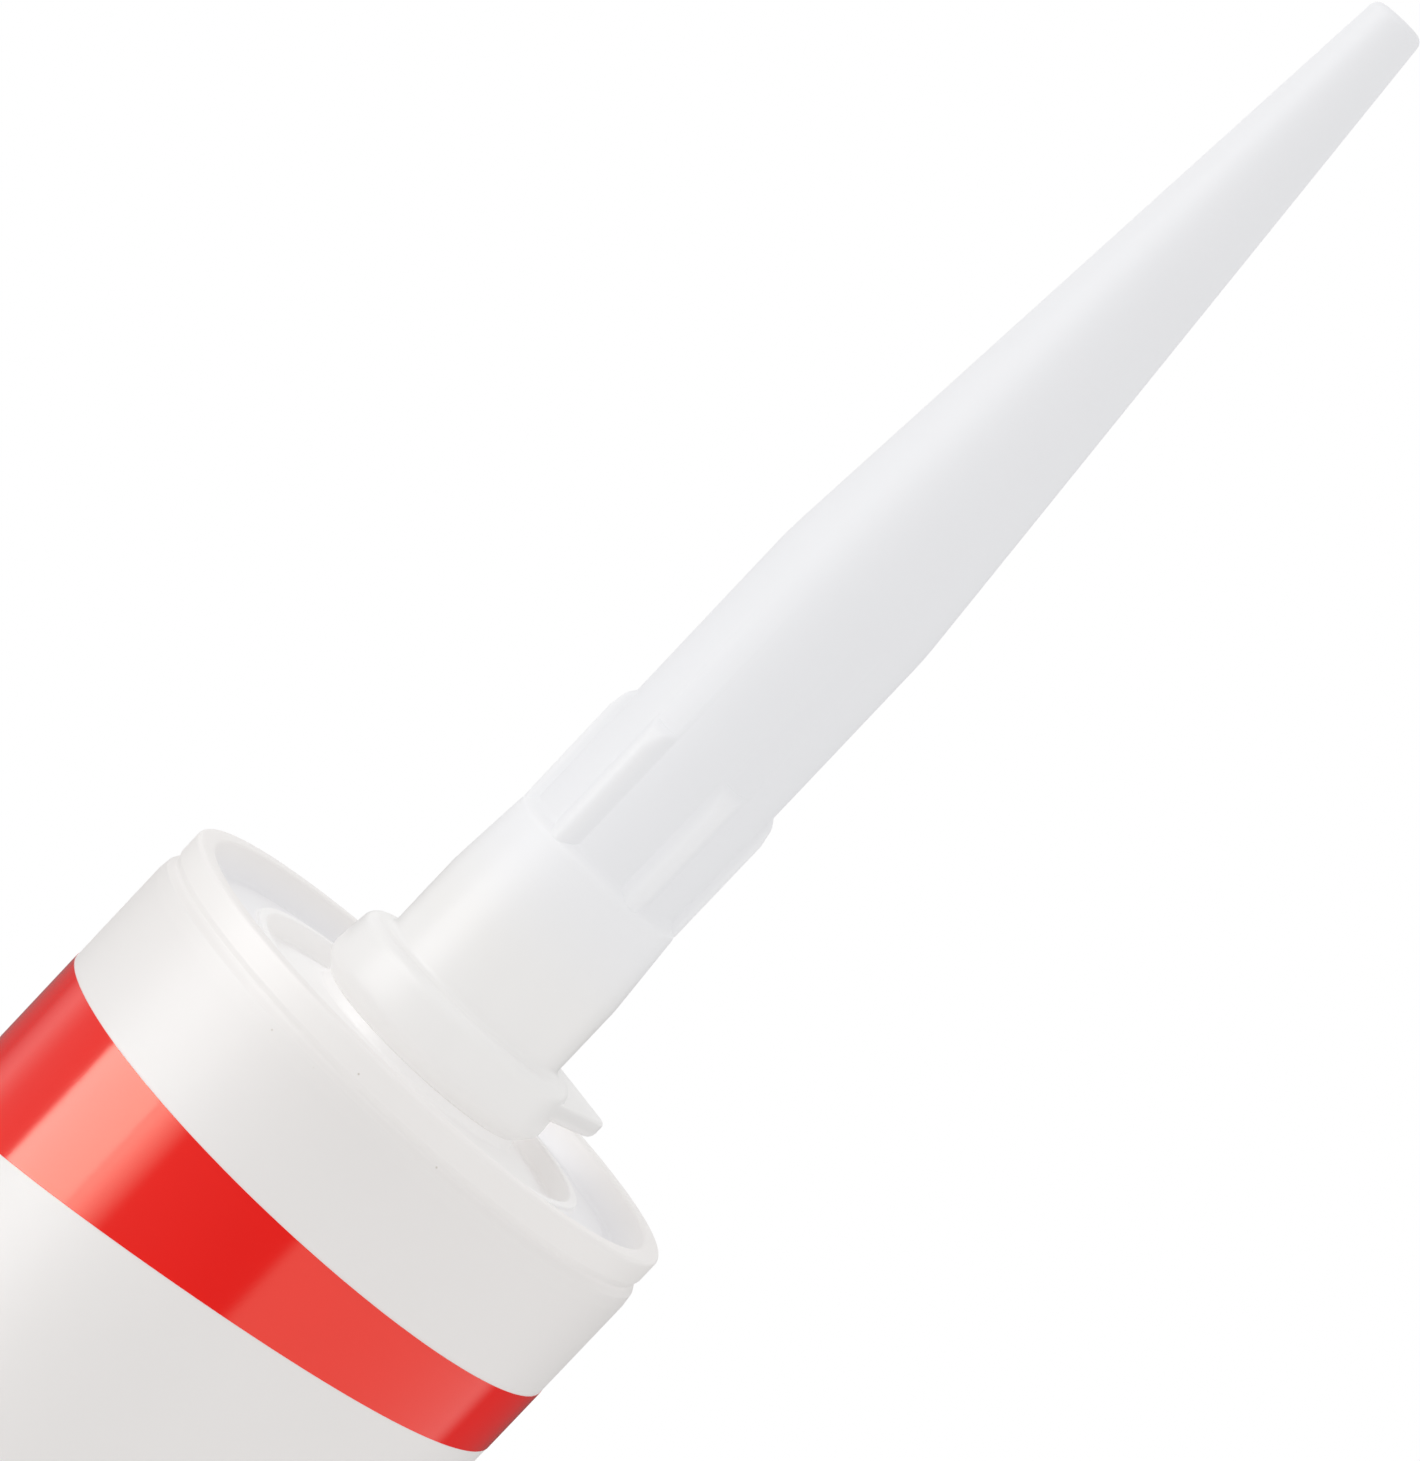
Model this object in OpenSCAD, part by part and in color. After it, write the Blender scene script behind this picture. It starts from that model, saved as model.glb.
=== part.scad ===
// Sealant cartridge, standing on its open rear rim with the nozzle upwards.
// The axis is +Z and the origin is the centre of the rear rim.

/* [Barrel] */
// Outside diameter of the barrel
barrel_od = 50.4; // [46:0.1:56]
// Wall of the barrel
barrel_wall = 1.5; // [1:0.1:2.2]
// Height from the rear rim to the front rim
barrel_h = 215; // [150:1:260]
// Bevel on both edges of the rear rim
rear_bevel = 0.4; // [0.1:0.05:0.5]

/* [Front collar] */
// How far the collar stands back from the barrel's surface
collar_step = 0.45; // [0.2:0.05:0.8]
// Wall of the collar at the rim
rim_wall = 1.65; // [1.4:0.05:2.2]
// Rounding of the rim's edges
rim_round = 0.4; // [0.2:0.05:0.5]
// Depth of the groove's centre below the rim
groove_drop = 2.5; // [2.2:0.1:3.2]
// Height of the groove and of the bead below it
groove_h = 0.5; // [0.3:0.05:0.6]
// Depth of the groove
groove_depth = 0.2; // [0.1:0.05:0.4]
// Depth of the recess inside the collar
recess_depth = 2.5; // [2:0.1:4]
// Slant of the recess's wall
recess_draft = 1.1; // [0.3:0.1:1.4]
// Rise of each ring step on the recess's floor
floor_step = 0.35; // [0.2:0.05:0.5]
// Radius of the outer ring step
outer_step_r = 20.5; // [19:0.1:20.8]
// Radius of the inner ring step
inner_step_r = 17.1; // [15:0.1:17.5]
// Width of the crest inside the inner step
crest_w = 0.8; // [0.5:0.1:1.2]
// Depth of the channel inside the crest
channel_depth = 1.8; // [1:0.1:2.2]
// Width of the channel's floor
channel_w = 0.8; // [0.4:0.1:1.2]
// Slant of the channel's outer wall
channel_draft = 0.3; // [0.1:0.05:0.5]
// Thickness of the shoulder below the channel
shoulder_t = 1.8; // [1.2:0.1:2.4]

/* [Boss and neck] */
// Radius of the boss that the nozzle seats on
boss_r = 9.9; // [9.8:0.1:10.4]
// Depth of the boss's top below the front rim
seat_drop = 1; // [0.6:0.1:1.3]
// Height of the boss above the flare round its foot
boss_h = 0.85; // [0.5:0.05:1.1]
// Draft of the boss's side
boss_draft = 0.2; // [0:0.05:0.4]
// Radius of the neck at the foot of its thread
neck_r = 6.5; // [6.2:0.05:6.8]
// Wall of the neck
neck_wall = 1.3; // [0.9:0.1:1.6]
// Height of the neck above the boss
neck_h = 18; // [12:0.5:18.5]
// Thickness of the membrane that closes the neck
membrane_t = 0.6; // [0.4:0.1:1]

/* [Nozzle] */
// Height from the seat to the end of the tip
nozzle_h = 111.4; // [92:0.1:132]
// Radius inside the socket, round the crests of the thread
socket_r = 7.4; // [7.25:0.05:7.5]
// Wall of the nozzle's pipe
nozzle_wall = 1.25; // [1:0.05:1.5]
// Wall of the socket
socket_wall = 1.35; // [1:0.05:1.6]
// Height of the cone between the socket and the pipe's bore
socket_cone_h = 1.8; // [1:0.1:2.4]
// Height of the straight foot of the socket above the seat
skirt_h = 12.9; // [10:0.1:16]
// Height of the top of the socket's taper above the seat
taper_h = 20.3; // [19.8:0.1:22]
// Radius at the top of the socket's taper, and of the ribs
taper_r = 8.17; // [8:0.01:8.5]
// Radius of the straight pipe
pipe_r = 7.36; // [7.1:0.01:7.6]
// Height of the top of the straight pipe above the seat
pipe_h = 49.9; // [42:0.1:57]
// Radius of the tip
tip_r = 2.45; // [2:0.05:4]
// Rounding of the tip's edge
tip_round = 0.8; // [0.3:0.1:1.2]
// Thickness of plastic that closes the tip
tip_plug = 2.4; // [1:0.1:4]

/* [Nozzle collar] */
// Radius of the collar at its widest
flange_r = 11.1; // [10.8:0.05:11.6]
// Height of the collar
flange_h = 5.8; // [5:0.1:6.6]
// Rounding of the collar's lower edge
flange_foot_round = 1.5; // [0.5:0.1:1.6]
// Rounding of the collar's upper edge
flange_top_round = 1.2; // [0.6:0.1:1.5]
// How much the collar narrows towards its top
flange_taper = 0.35; // [0.1:0.05:0.6]
// Fillet between the collar and the socket
flange_fillet = 0.3; // [0.1:0.05:0.5]
// Distance from the axis to the end of the lug
lug_reach = 15.9; // [13.5:0.1:18]
// Width of the lug's end
lug_w = 9.8; // [6:0.1:12]
// Thickness of the lug
lug_t = 1.9; // [1.2:0.1:2.4]
// Height of the lug's lower face above the seat
lug_rise = 2.9; // [1.8:0.1:3.2]
// Radius of the lug's corners
lug_corner_r = 1.4; // [1:0.1:2]
// Chamfer along the lug's upper edge
lug_top_bevel = 0.35; // [0.1:0.05:0.5]
// Chamfer along the lug's lower edge
lug_foot_bevel = 0.6; // [0.1:0.05:0.7]
// Direction of the lug, from +X towards +Y
lug_angle = 42; // [0:1:359]
// Number of grip ribs round the pipe
rib_count = 6; // [2:1:8]
// Width of each rib's crest
rib_crest_w = 0.7; // [0.4:0.1:1.2]
// Width of each rib at its foot
rib_foot_w = 4; // [2:0.1:5]
// Height of the ribs
rib_h = 12.6; // [8:0.1:16]
// Height of the slope at the top of each rib
rib_slope = 2.6; // [1:0.1:4]
// Depth of each rib's foot in the wall
rib_root = 0.6; // [0.3:0.05:0.8]

/* [Plunger] */
// Distance from the rear rim to the plunger
plunger_inset = 16; // [6:0.5:20]
// Height of the plunger's skirt
plunger_h = 17; // [13:0.5:20]
// Gap round the plunger's sealing lips
plunger_gap = 0.05; // [0.02:0.01:0.09]
// Wall of the plunger
plunger_wall = 1.6; // [1.2:0.1:2]
// Height of each sealing lip
lip_h = 2; // [1:0.1:3]
// How far the waist between the lips stands back
lip_step = 0.7; // [0.3:0.1:1]
// Chamfer at the front of the front lip
lip_lead = 1.1; // [0.5:0.1:1.5]
// Distance from the front lip to the face
lip_inset = 1.5; // [1:0.1:2.5]
// Bevel at the rear edges of the skirt
skirt_bevel = 0.4; // [0.1:0.05:0.6]
// Rise of the plunger's domed face above its skirt
dome_rise = 2.5; // [1:0.1:4]
// Radius of the flat on top of the dome
dome_flat_r = 9; // [7:0.5:12]
// Number of ribs behind the plunger's face
plunger_rib_count = 6; // [3:1:8]
// Depth of those ribs at the skirt
plunger_rib_h = 3.5; // [2:0.1:5]
// Thickness of those ribs
plunger_rib_t = 1.2; // [0.8:0.1:2]
// Radius of the hub that the ribs meet at
hub_r = 6; // [4:0.5:7]

/* [Contents and print] */
// Gap between the sealant and the plastic round it
paste_gap = 0.1; // [0.05:0.05:0.3]
// Gap between the sealant and the plunger's face
face_gap = 0.3; // [0.1:0.05:0.5]
// Thickness of the printed band
band_t = 0.08; // [0.05:0.01:0.15]
// Distance from the front rim down to the band's top edge
band_drop = 14.1; // [8:0.1:40]
// Width of the band where its lower edge is level
band_w = 4.5; // [3:0.1:20]
// Radius of the sweep along the band's lower edge
band_sweep_r = 300; // [200:10:500]
// Distance from the axis to the place where that edge is level
band_sweep_x = 55.4; // [20:0.1:80]
// Direction of that place, from -Y towards +X
band_angle = 75; // [0:1:359]

/* [Hidden] */
$fn = 96;
arc_steps = 5;
barrel_r = barrel_od / 2;
bore_r = barrel_r - barrel_wall;
rim_z = barrel_h;
collar_r = barrel_r - collar_step;
rim_in_r = collar_r - rim_wall;
floor_z = rim_z - recess_depth;
recess_r = rim_in_r - recess_draft;
seat_z = rim_z - seat_drop;
neck_z = seat_z + neck_h;
neck_bore_r = neck_r - neck_wall;
core_r = boss_r - shoulder_t;
outer_land_z = floor_z + floor_step;
inner_foot_z = outer_land_z + floor_step;
crest_z = inner_foot_z + floor_step;
crest_r = inner_step_r - crest_w;
channel_z = crest_z - channel_depth;
channel_r = crest_r - channel_draft;
flare_foot_r = channel_r - channel_w;
flare_z = seat_z - boss_h;
boss_foot_r = boss_r + boss_draft;
roof_z = channel_z - shoulder_t;
taper_z = seat_z + taper_h;
pipe_foot_z = taper_z + (taper_r - pipe_r);
pipe_z = seat_z + pipe_h;
tip_z = seat_z + nozzle_h;
flange_top_z = seat_z + flange_h;
flange_shoulder_r = flange_r - flange_taper;
skirt_r = socket_r + socket_wall;
pipe_bore_r = pipe_r - nozzle_wall;
tip_bore_r = tip_r / 2;
plunger_r = bore_r - plunger_gap;
plunger_z = plunger_inset;
dome_z = plunger_z + plunger_h + dome_rise;
waist_r = plunger_r - lip_step;
cup_r = plunger_r - plunger_wall - skirt_bevel / 2;
face_edge_r = plunger_r - lip_lead;
face_z = plunger_z + plunger_h;
web_z = face_z - plunger_wall;
rib_end_z = web_z - plunger_rib_h;

// Points of a round edge about a centre, from one angle to another
function arc(x, z, r, from, to) =
    [for (i = [0:arc_steps]) let (a = from + (to - from) * i / arc_steps) [x + r * cos(a), z + r * sin(a)]];

// Underside of the shoulder, boss and neck from the axis outwards, kept clear by a gap
function roof_points(gap) = [
    [0, neck_z - membrane_t - gap],
    [neck_bore_r - gap, neck_z - membrane_t - gap],
    [neck_bore_r - gap, seat_z - shoulder_t - gap],
    [core_r - gap, flare_z - shoulder_t - gap],
    [core_r - gap, roof_z - gap],
    [bore_r - gap, roof_z - gap]
];

// Front face of the plunger from its edge to the axis, kept clear by a gap
function dome_points(gap) = [
    [face_edge_r, face_z + gap],
    [dome_flat_r, dome_z + gap],
    [0, dome_z + gap]
];

// Outside of the collar, from the barrel's side up to the inner edge of the rim
function collar_points() = concat(
    [
        [barrel_r, rim_z - groove_drop - 3 * groove_h],
        [collar_r + collar_step / 2, rim_z - groove_drop - 2 * groove_h],
        [collar_r + collar_step / 2, rim_z - groove_drop - groove_h],
        [collar_r - groove_depth, rim_z - groove_drop],
        [collar_r, rim_z - groove_drop + groove_h]
    ],
    arc(collar_r - rim_round, rim_z - rim_round, rim_round, 0, 90),
    arc(rim_in_r + rim_round, rim_z - rim_round, rim_round, 90, 180)
);

// Floor of the recess with its ring steps, from the collar in to the neck's closed top
function shoulder_points() = concat(
    arc(recess_r - rim_round, floor_z + rim_round, rim_round, 0, -90),
    [
        [outer_step_r, floor_z],
        [outer_step_r, outer_land_z],
        [inner_step_r, inner_foot_z],
        [inner_step_r, crest_z],
        [crest_r, crest_z],
        [channel_r, channel_z],
        [flare_foot_r, channel_z],
        [boss_foot_r, flare_z],
        [boss_r, seat_z],
        [neck_r, seat_z],
        [neck_r, neck_z - rear_bevel],
        [neck_r - rear_bevel, neck_z],
        [0, neck_z]
    ]
);

module cartridge() {
    color([0.93, 0.93, 0.92])
    rotate_extrude()
    polygon(concat(
        [
            [bore_r, rear_bevel],
            [bore_r + rear_bevel, 0],
            [barrel_r - rear_bevel, 0],
            [barrel_r, rear_bevel]
        ],
        collar_points(),
        shoulder_points(),
        roof_points(0)
    ));
}

module nozzle_shell() {
    rotate_extrude()
    polygon(concat(
        [[socket_r, seat_z]],
        arc(flange_r - flange_foot_round, seat_z + flange_foot_round, flange_foot_round, -90, 0),
        arc(flange_shoulder_r - flange_top_round, flange_top_z - flange_top_round, flange_top_round, 0, 80),
        [
            [skirt_r + flange_fillet, flange_top_z],
            [skirt_r, flange_top_z + flange_fillet],
            [skirt_r, seat_z + skirt_h],
            [taper_r, taper_z],
            [pipe_r, pipe_foot_z],
            [pipe_r, pipe_z]
        ],
        arc(tip_r - tip_round, tip_z - tip_round, tip_round, 5, 90),
        [
            [0, tip_z],
            [0, tip_z - tip_plug],
            [tip_bore_r, tip_z - tip_plug - tip_bore_r],
            [pipe_bore_r, pipe_z],
            [pipe_bore_r, pipe_foot_z],
            [socket_r, pipe_foot_z - socket_cone_h]
        ]
    ));
}

// One pad of the lug, with its rims chamfered
module lug_pad(r) {
    rotate_extrude($fn = 32)
    polygon([
        [0, 0],
        [r - lug_foot_bevel, 0],
        [r, lug_foot_bevel],
        [r, lug_t - lug_top_bevel],
        [r - lug_top_bevel, lug_t],
        [0, lug_t]
    ]);
}

module lug() {
    core = (socket_r + skirt_r) / 2;
    translate([0, 0, seat_z + lug_rise])
    rotate([0, 0, lug_angle])
    difference() {
        hull() {
            lug_pad(flange_shoulder_r);
            for (side = [-1, 1])
                translate([lug_reach - lug_corner_r, side * (lug_w / 2 - lug_corner_r), 0])
                lug_pad(lug_corner_r);
        }
        translate([0, 0, -lug_t / 2])
        cylinder(r = core, h = 2 * lug_t);
    }
}

// One grip rib along +X: its outline from the side, cut to flanks that lean towards the crest
module grip_rib() {
    root_r = pipe_r - rib_root;
    rib_top_z = taper_z + rib_h;
    intersection() {
        rotate([90, 0, 0])
        linear_extrude(rib_foot_w, center = true)
        polygon([
            [root_r, taper_z - rib_root],
            [taper_r, taper_z],
            [taper_r, rib_top_z - rib_slope],
            [(pipe_r + taper_r) / 2, rib_top_z - rib_slope / 3],
            [root_r, rib_top_z + rib_root]
        ]);
        translate([0, 0, taper_z - rib_h])
        linear_extrude(3 * rib_h)
        polygon([
            [root_r, -rib_foot_w / 2],
            [taper_r, -rib_crest_w / 2],
            [taper_r, rib_crest_w / 2],
            [root_r, rib_foot_w / 2]
        ]);
    }
}

module grip_ribs() {
    for (i = [0:rib_count - 1])
        rotate([0, 0, 360 * i / rib_count])
        grip_rib();
}

module nozzle() {
    color([0.9, 0.9, 0.93])
    union() {
        nozzle_shell();
        lug();
        grip_ribs();
    }
}

module plunger_shell() {
    front_lip_z = face_z - lip_inset - lip_h;
    rotate_extrude()
    polygon(concat(
        [
            [cup_r + skirt_bevel, plunger_z],
            [plunger_r - skirt_bevel, plunger_z],
            [plunger_r, plunger_z + skirt_bevel],
            [plunger_r, plunger_z + lip_h],
            [waist_r, plunger_z + lip_h + lip_step],
            [waist_r, front_lip_z - lip_step],
            [plunger_r, front_lip_z],
            [plunger_r, face_z - lip_inset]
        ],
        dome_points(0),
        [
            [0, dome_z - plunger_wall],
            [dome_flat_r, dome_z - plunger_wall],
            [cup_r - plunger_wall / 2, web_z - plunger_wall / 2],
            [cup_r, web_z - plunger_wall],
            [cup_r, plunger_z + skirt_bevel]
        ]
    ));
}

module plunger_ribs() {
    rib_root_z = dome_z - plunger_wall / 2;
    rib_out_r = cup_r + lip_step / 2;
    translate([0, 0, rib_end_z])
    cylinder(r = hub_r, h = rib_root_z - rib_end_z);
    for (i = [0:plunger_rib_count - 1])
        rotate([0, 0, 360 * i / plunger_rib_count])
        rotate([90, 0, 0])
        linear_extrude(plunger_rib_t, center = true)
        polygon([
            [hub_r / 2, rib_end_z],
            [rib_out_r, rib_end_z],
            [rib_out_r, web_z - plunger_wall / 2],
            [dome_flat_r, rib_root_z],
            [hub_r / 2, rib_root_z]
        ]);
}

module plunger() {
    color([0.95, 0.95, 0.93])
    union() {
        plunger_shell();
        plunger_ribs();
    }
}

module sealant_fill() {
    color([0.97, 0.96, 0.94])
    rotate_extrude()
    polygon(concat(
        roof_points(paste_gap),
        [[bore_r - paste_gap, face_z + face_gap]],
        dome_points(face_gap)
    ));
}

// Film of ink round the barrel: level along the top, with one long sweep along the bottom
module red_band() {
    band_top_z = rim_z - band_drop;
    sweep_z = band_top_z - band_w - band_sweep_r;
    color([0.87, 0.11, 0.1])
    difference() {
        translate([0, 0, sweep_z])
        cylinder(r = barrel_r + band_t, h = band_top_z - sweep_z);
        translate([0, 0, sweep_z - 1])
        cylinder(r = barrel_r, h = band_top_z - sweep_z + 2);
        rotate([0, 0, band_angle - 90])
        translate([band_sweep_x, 0, sweep_z])
        rotate([90, 0, 0])
        cylinder(r = band_sweep_r, h = 2 * barrel_od, center = true);
    }
}

cartridge();
nozzle();
plunger();
sealant_fill();
red_band();
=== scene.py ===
import math

import bpy
from mathutils import Matrix, Vector


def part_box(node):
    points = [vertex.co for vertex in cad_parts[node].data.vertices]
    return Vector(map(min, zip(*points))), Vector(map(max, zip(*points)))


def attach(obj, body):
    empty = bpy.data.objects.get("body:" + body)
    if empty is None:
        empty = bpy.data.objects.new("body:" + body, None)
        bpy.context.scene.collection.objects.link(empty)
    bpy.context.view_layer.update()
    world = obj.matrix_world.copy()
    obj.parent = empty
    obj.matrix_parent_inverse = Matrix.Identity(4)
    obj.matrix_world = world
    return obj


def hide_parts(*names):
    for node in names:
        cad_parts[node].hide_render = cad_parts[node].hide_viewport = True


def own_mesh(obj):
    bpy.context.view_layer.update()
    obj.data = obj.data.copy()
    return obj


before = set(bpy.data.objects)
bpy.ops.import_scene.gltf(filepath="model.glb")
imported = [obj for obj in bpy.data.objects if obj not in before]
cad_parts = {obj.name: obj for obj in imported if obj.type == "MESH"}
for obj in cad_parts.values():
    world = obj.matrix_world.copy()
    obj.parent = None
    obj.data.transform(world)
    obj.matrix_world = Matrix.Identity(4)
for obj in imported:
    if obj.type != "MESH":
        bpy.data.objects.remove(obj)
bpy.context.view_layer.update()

bpy.ops.object.select_all(action="DESELECT")

mm = 0.001
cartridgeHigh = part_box("cartridge")[1]
nozzleLow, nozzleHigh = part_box("nozzle")
plungerLow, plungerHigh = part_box("plunger")
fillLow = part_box("sealant_fill")[0]
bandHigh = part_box("red_band")[1]

# Sizes in mm that the pieces share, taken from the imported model
barrelR = cartridgeHigh[0] / mm
neckTopZ = cartridgeHigh[2] / mm
seatZ = nozzleLow[2] / mm  # top of the boss, where the nozzle sits
tipZ = nozzleHigh[2] / mm


# Tools for making pieces

weldGap = 0.0008 * mm  # points nearer than this are merged
sideShare = 0.49  # share of a side that a rounding may take
smoothAngle = 30  # edges sharper than this stay sharp


def addPiece(name):
    # names the primitive that was added last
    bpy.ops.object.select_all(action="DESELECT")
    piece = bpy.context.object
    piece.name = name
    piece.data.name = name
    return piece


def openEdit(piece):
    bpy.context.view_layer.objects.active = piece
    bpy.ops.object.mode_set(mode="EDIT")
    bpy.ops.mesh.select_all(action="SELECT")


def closeEdit():
    bpy.ops.mesh.normals_make_consistent(inside=False)
    bpy.ops.object.mode_set(mode="OBJECT")


def roundedCorners(corners, steps=5):
    # each corner is (radius, height, rounding); a rounding of 0 stays sharp
    points = []
    last = len(corners) - 1
    for index, (r, z, rounding) in enumerate(corners):
        here = Vector((r, z))
        if rounding == 0 or index in (0, last):
            points.append(here)
            continue
        back = Vector(corners[index - 1][:2]) - here
        ahead = Vector(corners[index + 1][:2]) - here
        half = back.angle(ahead) / 2
        reach = min(rounding / math.tan(half), back.length * sideShare, ahead.length * sideShare)
        radius = reach * math.tan(half)
        middle = here + (back.normalized() + ahead.normalized()).normalized() * radius / math.sin(half)
        start = here + back.normalized() * reach - middle
        sweep = start.angle_signed(here + ahead.normalized() * reach - middle)
        for step in range(steps + 1):
            points.append(middle + Matrix.Rotation(-sweep * step / steps, 2) @ start)
    return points


def lathe(name, corners, sides):
    # draws the half section edge by edge and spins it about the axis
    points = roundedCorners(corners)
    bpy.ops.mesh.primitive_plane_add(size=mm)
    piece = addPiece(name)
    openEdit(piece)
    bpy.ops.mesh.merge(type="CENTER")
    bpy.ops.transform.translate(value=(points[0][0] * mm, 0, points[0][1] * mm))
    for before, after in zip(points, points[1:]):
        step = (after - before) * mm
        bpy.ops.mesh.extrude_vertices_move(TRANSFORM_OT_translate={"value": (step[0], 0, step[1])})
    bpy.ops.mesh.select_all(action="SELECT")
    bpy.ops.mesh.spin(steps=sides, angle=math.tau, center=(0, 0, 0), axis=(0, 0, 1))
    bpy.ops.mesh.select_all(action="SELECT")
    bpy.ops.mesh.remove_doubles(threshold=weldGap)
    closeEdit()
    return piece


def smooth(piece):
    bpy.ops.object.select_all(action="DESELECT")
    piece.select_set(True)
    bpy.context.view_layer.objects.active = piece
    bpy.ops.object.shade_smooth_by_angle(angle=math.radians(smoothAngle))
    bpy.ops.object.select_all(action="DESELECT")


def applyModifier(piece, kind, **settings):
    bpy.ops.object.select_all(action="DESELECT")
    piece.select_set(True)
    bpy.context.view_layer.objects.active = piece
    modifier = piece.modifiers.new(kind, kind)
    for key, value in settings.items():
        setattr(modifier, key, value)
    bpy.ops.object.modifier_apply(modifier=modifier.name)
    piece.select_set(False)


def fuse(piece, other):
    applyModifier(piece, "BOOLEAN", operation="UNION", solver="EXACT", object=other)
    bpy.data.objects.remove(other)


# Cartridge

cartridge = {
    "seatDrop": 1,  # a drop is measured down from the rim
    "bore": 23.7,
    "rearChamfer": 0.4,
    "barrelTopDrop": 4.6,
    "beadDrop": 3.5,
    "beadRise": 0.26,  # over the collar
    "grooveDrop": 2.75,
    "grooveDepth": 0.2,
    "collarFootDrop": 2.2,
    "collarR": 24.8,
    "rimInsideR": 23.1,
    "recessR": 22.0,
    "recessDepth": 2.5,
    "shoulder": 1.8,
    "step": 0.35,
    "outerStepR": 20.5,
    "innerStepR": 17.1,
    "crestR": 16.3,
    "channelR": 16.0,
    "channelDepth": 1.8,
    "flareR": 15.2,
    "bossFootR": 10.1,
    "bossR": 9.9,
    "bossH": 0.85,
    "neckR": 6.5,
    "neckBore": 5.2,
    "membrane": 0.6,
    "sides": 192,
}

rimZ = seatZ + cartridge["seatDrop"]
floorZ = rimZ - cartridge["recessDepth"]
crestZ = floorZ + 3 * cartridge["step"]
channelZ = crestZ - cartridge["channelDepth"]
flareZ = seatZ - cartridge["bossH"]
roofZ = channelZ - cartridge["shoulder"]
coreR = cartridge["bossR"] - cartridge["shoulder"]


def makeCartridge():
    # from under the neck's membrane down the bore, round the rear rim and up the outside
    c = cartridge
    step = c["step"]
    chamfer = c["rearChamfer"]
    corners = [
        (0, neckTopZ - c["membrane"], 0),
        (c["neckBore"], neckTopZ - c["membrane"], 0.5),
        (c["neckBore"], seatZ - c["shoulder"], 0.3),
        (coreR, flareZ - c["shoulder"], 0.3),
        (coreR, roofZ, 0.4),
        (c["bore"], roofZ, 0.8),
        (c["bore"], chamfer, 0.2),
        (c["bore"] + chamfer, 0, 0.2),
        (barrelR - chamfer, 0, 0.2),
        (barrelR, chamfer, 0.2),
        (barrelR, rimZ - c["barrelTopDrop"], 1.5),
        (c["collarR"] + c["beadRise"], rimZ - c["beadDrop"], 0.3),
        (c["collarR"] - c["grooveDepth"], rimZ - c["grooveDrop"], 0.25),
        (c["collarR"], rimZ - c["collarFootDrop"], 0.4),
        (c["collarR"], rimZ, 0.4),
        (c["rimInsideR"], rimZ, 0.4),
        (c["recessR"], floorZ, 0.4),
        (c["outerStepR"], floorZ, 0.1),
        (c["outerStepR"], floorZ + step, 0.12),
        (c["innerStepR"], floorZ + 2 * step, 0.1),
        (c["innerStepR"], crestZ, 0.12),
        (c["crestR"], crestZ, 0.2),
        (c["channelR"], channelZ, 0.25),
        (c["flareR"], channelZ, 0.4),
        (c["bossFootR"], flareZ, 0.4),
        (c["bossR"], seatZ, 0.15),
        (c["neckR"], seatZ, 0.3),
        (c["neckR"], neckTopZ, 0.5),
        (0, neckTopZ, 0),
    ]
    return lathe("cartridgeShell", corners, c["sides"])


cartridgeShell = makeCartridge()
print("cartridge made")

# Thread round the neck and in the nozzle's socket

thread = {
    "pitch": 3.0,
    "turns": 4,
    "foot": 2.2,  # height above the boss
    "rise": 0.7,
    "width": 1.5,
    "crestShare": 0.36,  # the crest's width as a share of the foot's
    "sunk": 0.15,  # depth of the foot inside the wall
    "steps": 96,
    "fadeSteps": 12,
    "weldGap": 0.0005 * mm,
}


def makeThread(name, rootR, rise, startZ):
    # a tooth's outline swept up the axis, which fades out at both ends; a negative rise points inwards
    t = thread
    sunk = math.copysign(t["sunk"], rise)
    crest = t["crestShare"] / 2
    outline = [(-sunk, -0.5), (rise, -crest), (rise, crest), (-sunk, 0.5)]
    corners = len(outline)
    bpy.ops.object.select_all(action="DESELECT")
    bpy.ops.mesh.primitive_circle_add(vertices=corners, radius=mm)
    piece = addPiece(name)
    for vertex, (x, z) in zip(piece.data.vertices, outline):
        vertex.co = ((rootR + x) * mm, 0, (startZ + z * t["width"]) * mm)
    applyModifier(
        piece, "SCREW", axis="Z", angle=math.tau, screw_offset=t["pitch"] * mm, iterations=t["turns"],
        steps=t["steps"], render_steps=t["steps"], use_normal_calculate=True,
    )
    stations = len(piece.data.vertices) // corners
    root = (rootR - sunk) * mm
    for index, vertex in enumerate(piece.data.vertices):
        station = index // corners
        fade = min(1, (min(station, stations - 1 - station) + 1) / t["fadeSteps"])
        flat = Vector((vertex.co.x, vertex.co.y))
        flat *= (root + (flat.length - root) * fade) / flat.length
        vertex.co.x, vertex.co.y = flat
    openEdit(piece)
    bpy.ops.mesh.remove_doubles(threshold=t["weldGap"])
    bpy.ops.mesh.fill_holes(sides=corners)
    closeEdit()
    return piece


neckFoot = seatZ + thread["foot"]
fuse(cartridgeShell, makeThread("neckThread", cartridge["neckR"], thread["rise"], neckFoot))
print("neck thread made")

# Nozzle

nozzle = {
    "socketR": 7.4,
    "socketRoof": 1.8,  # height of the cone that closes the socket
    "wall": 1.25,
    "skirtR": 8.75,
    "skirtH": 12.9,
    "taperH": 20.3,
    "taperR": 8.17,
    "pipeR": 7.36,
    "pipeH": 49.9,
    "tipR": 2.45,
    "tipRound": 0.8,
    "tipCrown": 0.05,
    "tipPlug": 2.4,
    "boreCrown": 0.4,
    "flangeR": 11.1,
    "flangeH": 5.8,
    "flangeTaper": 0.35,
    "flangeFootR": 9.95,
    "flangeFootH": 1.4,
    "flangeBulge": 0.1,
    "sides": 180,
}


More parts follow.
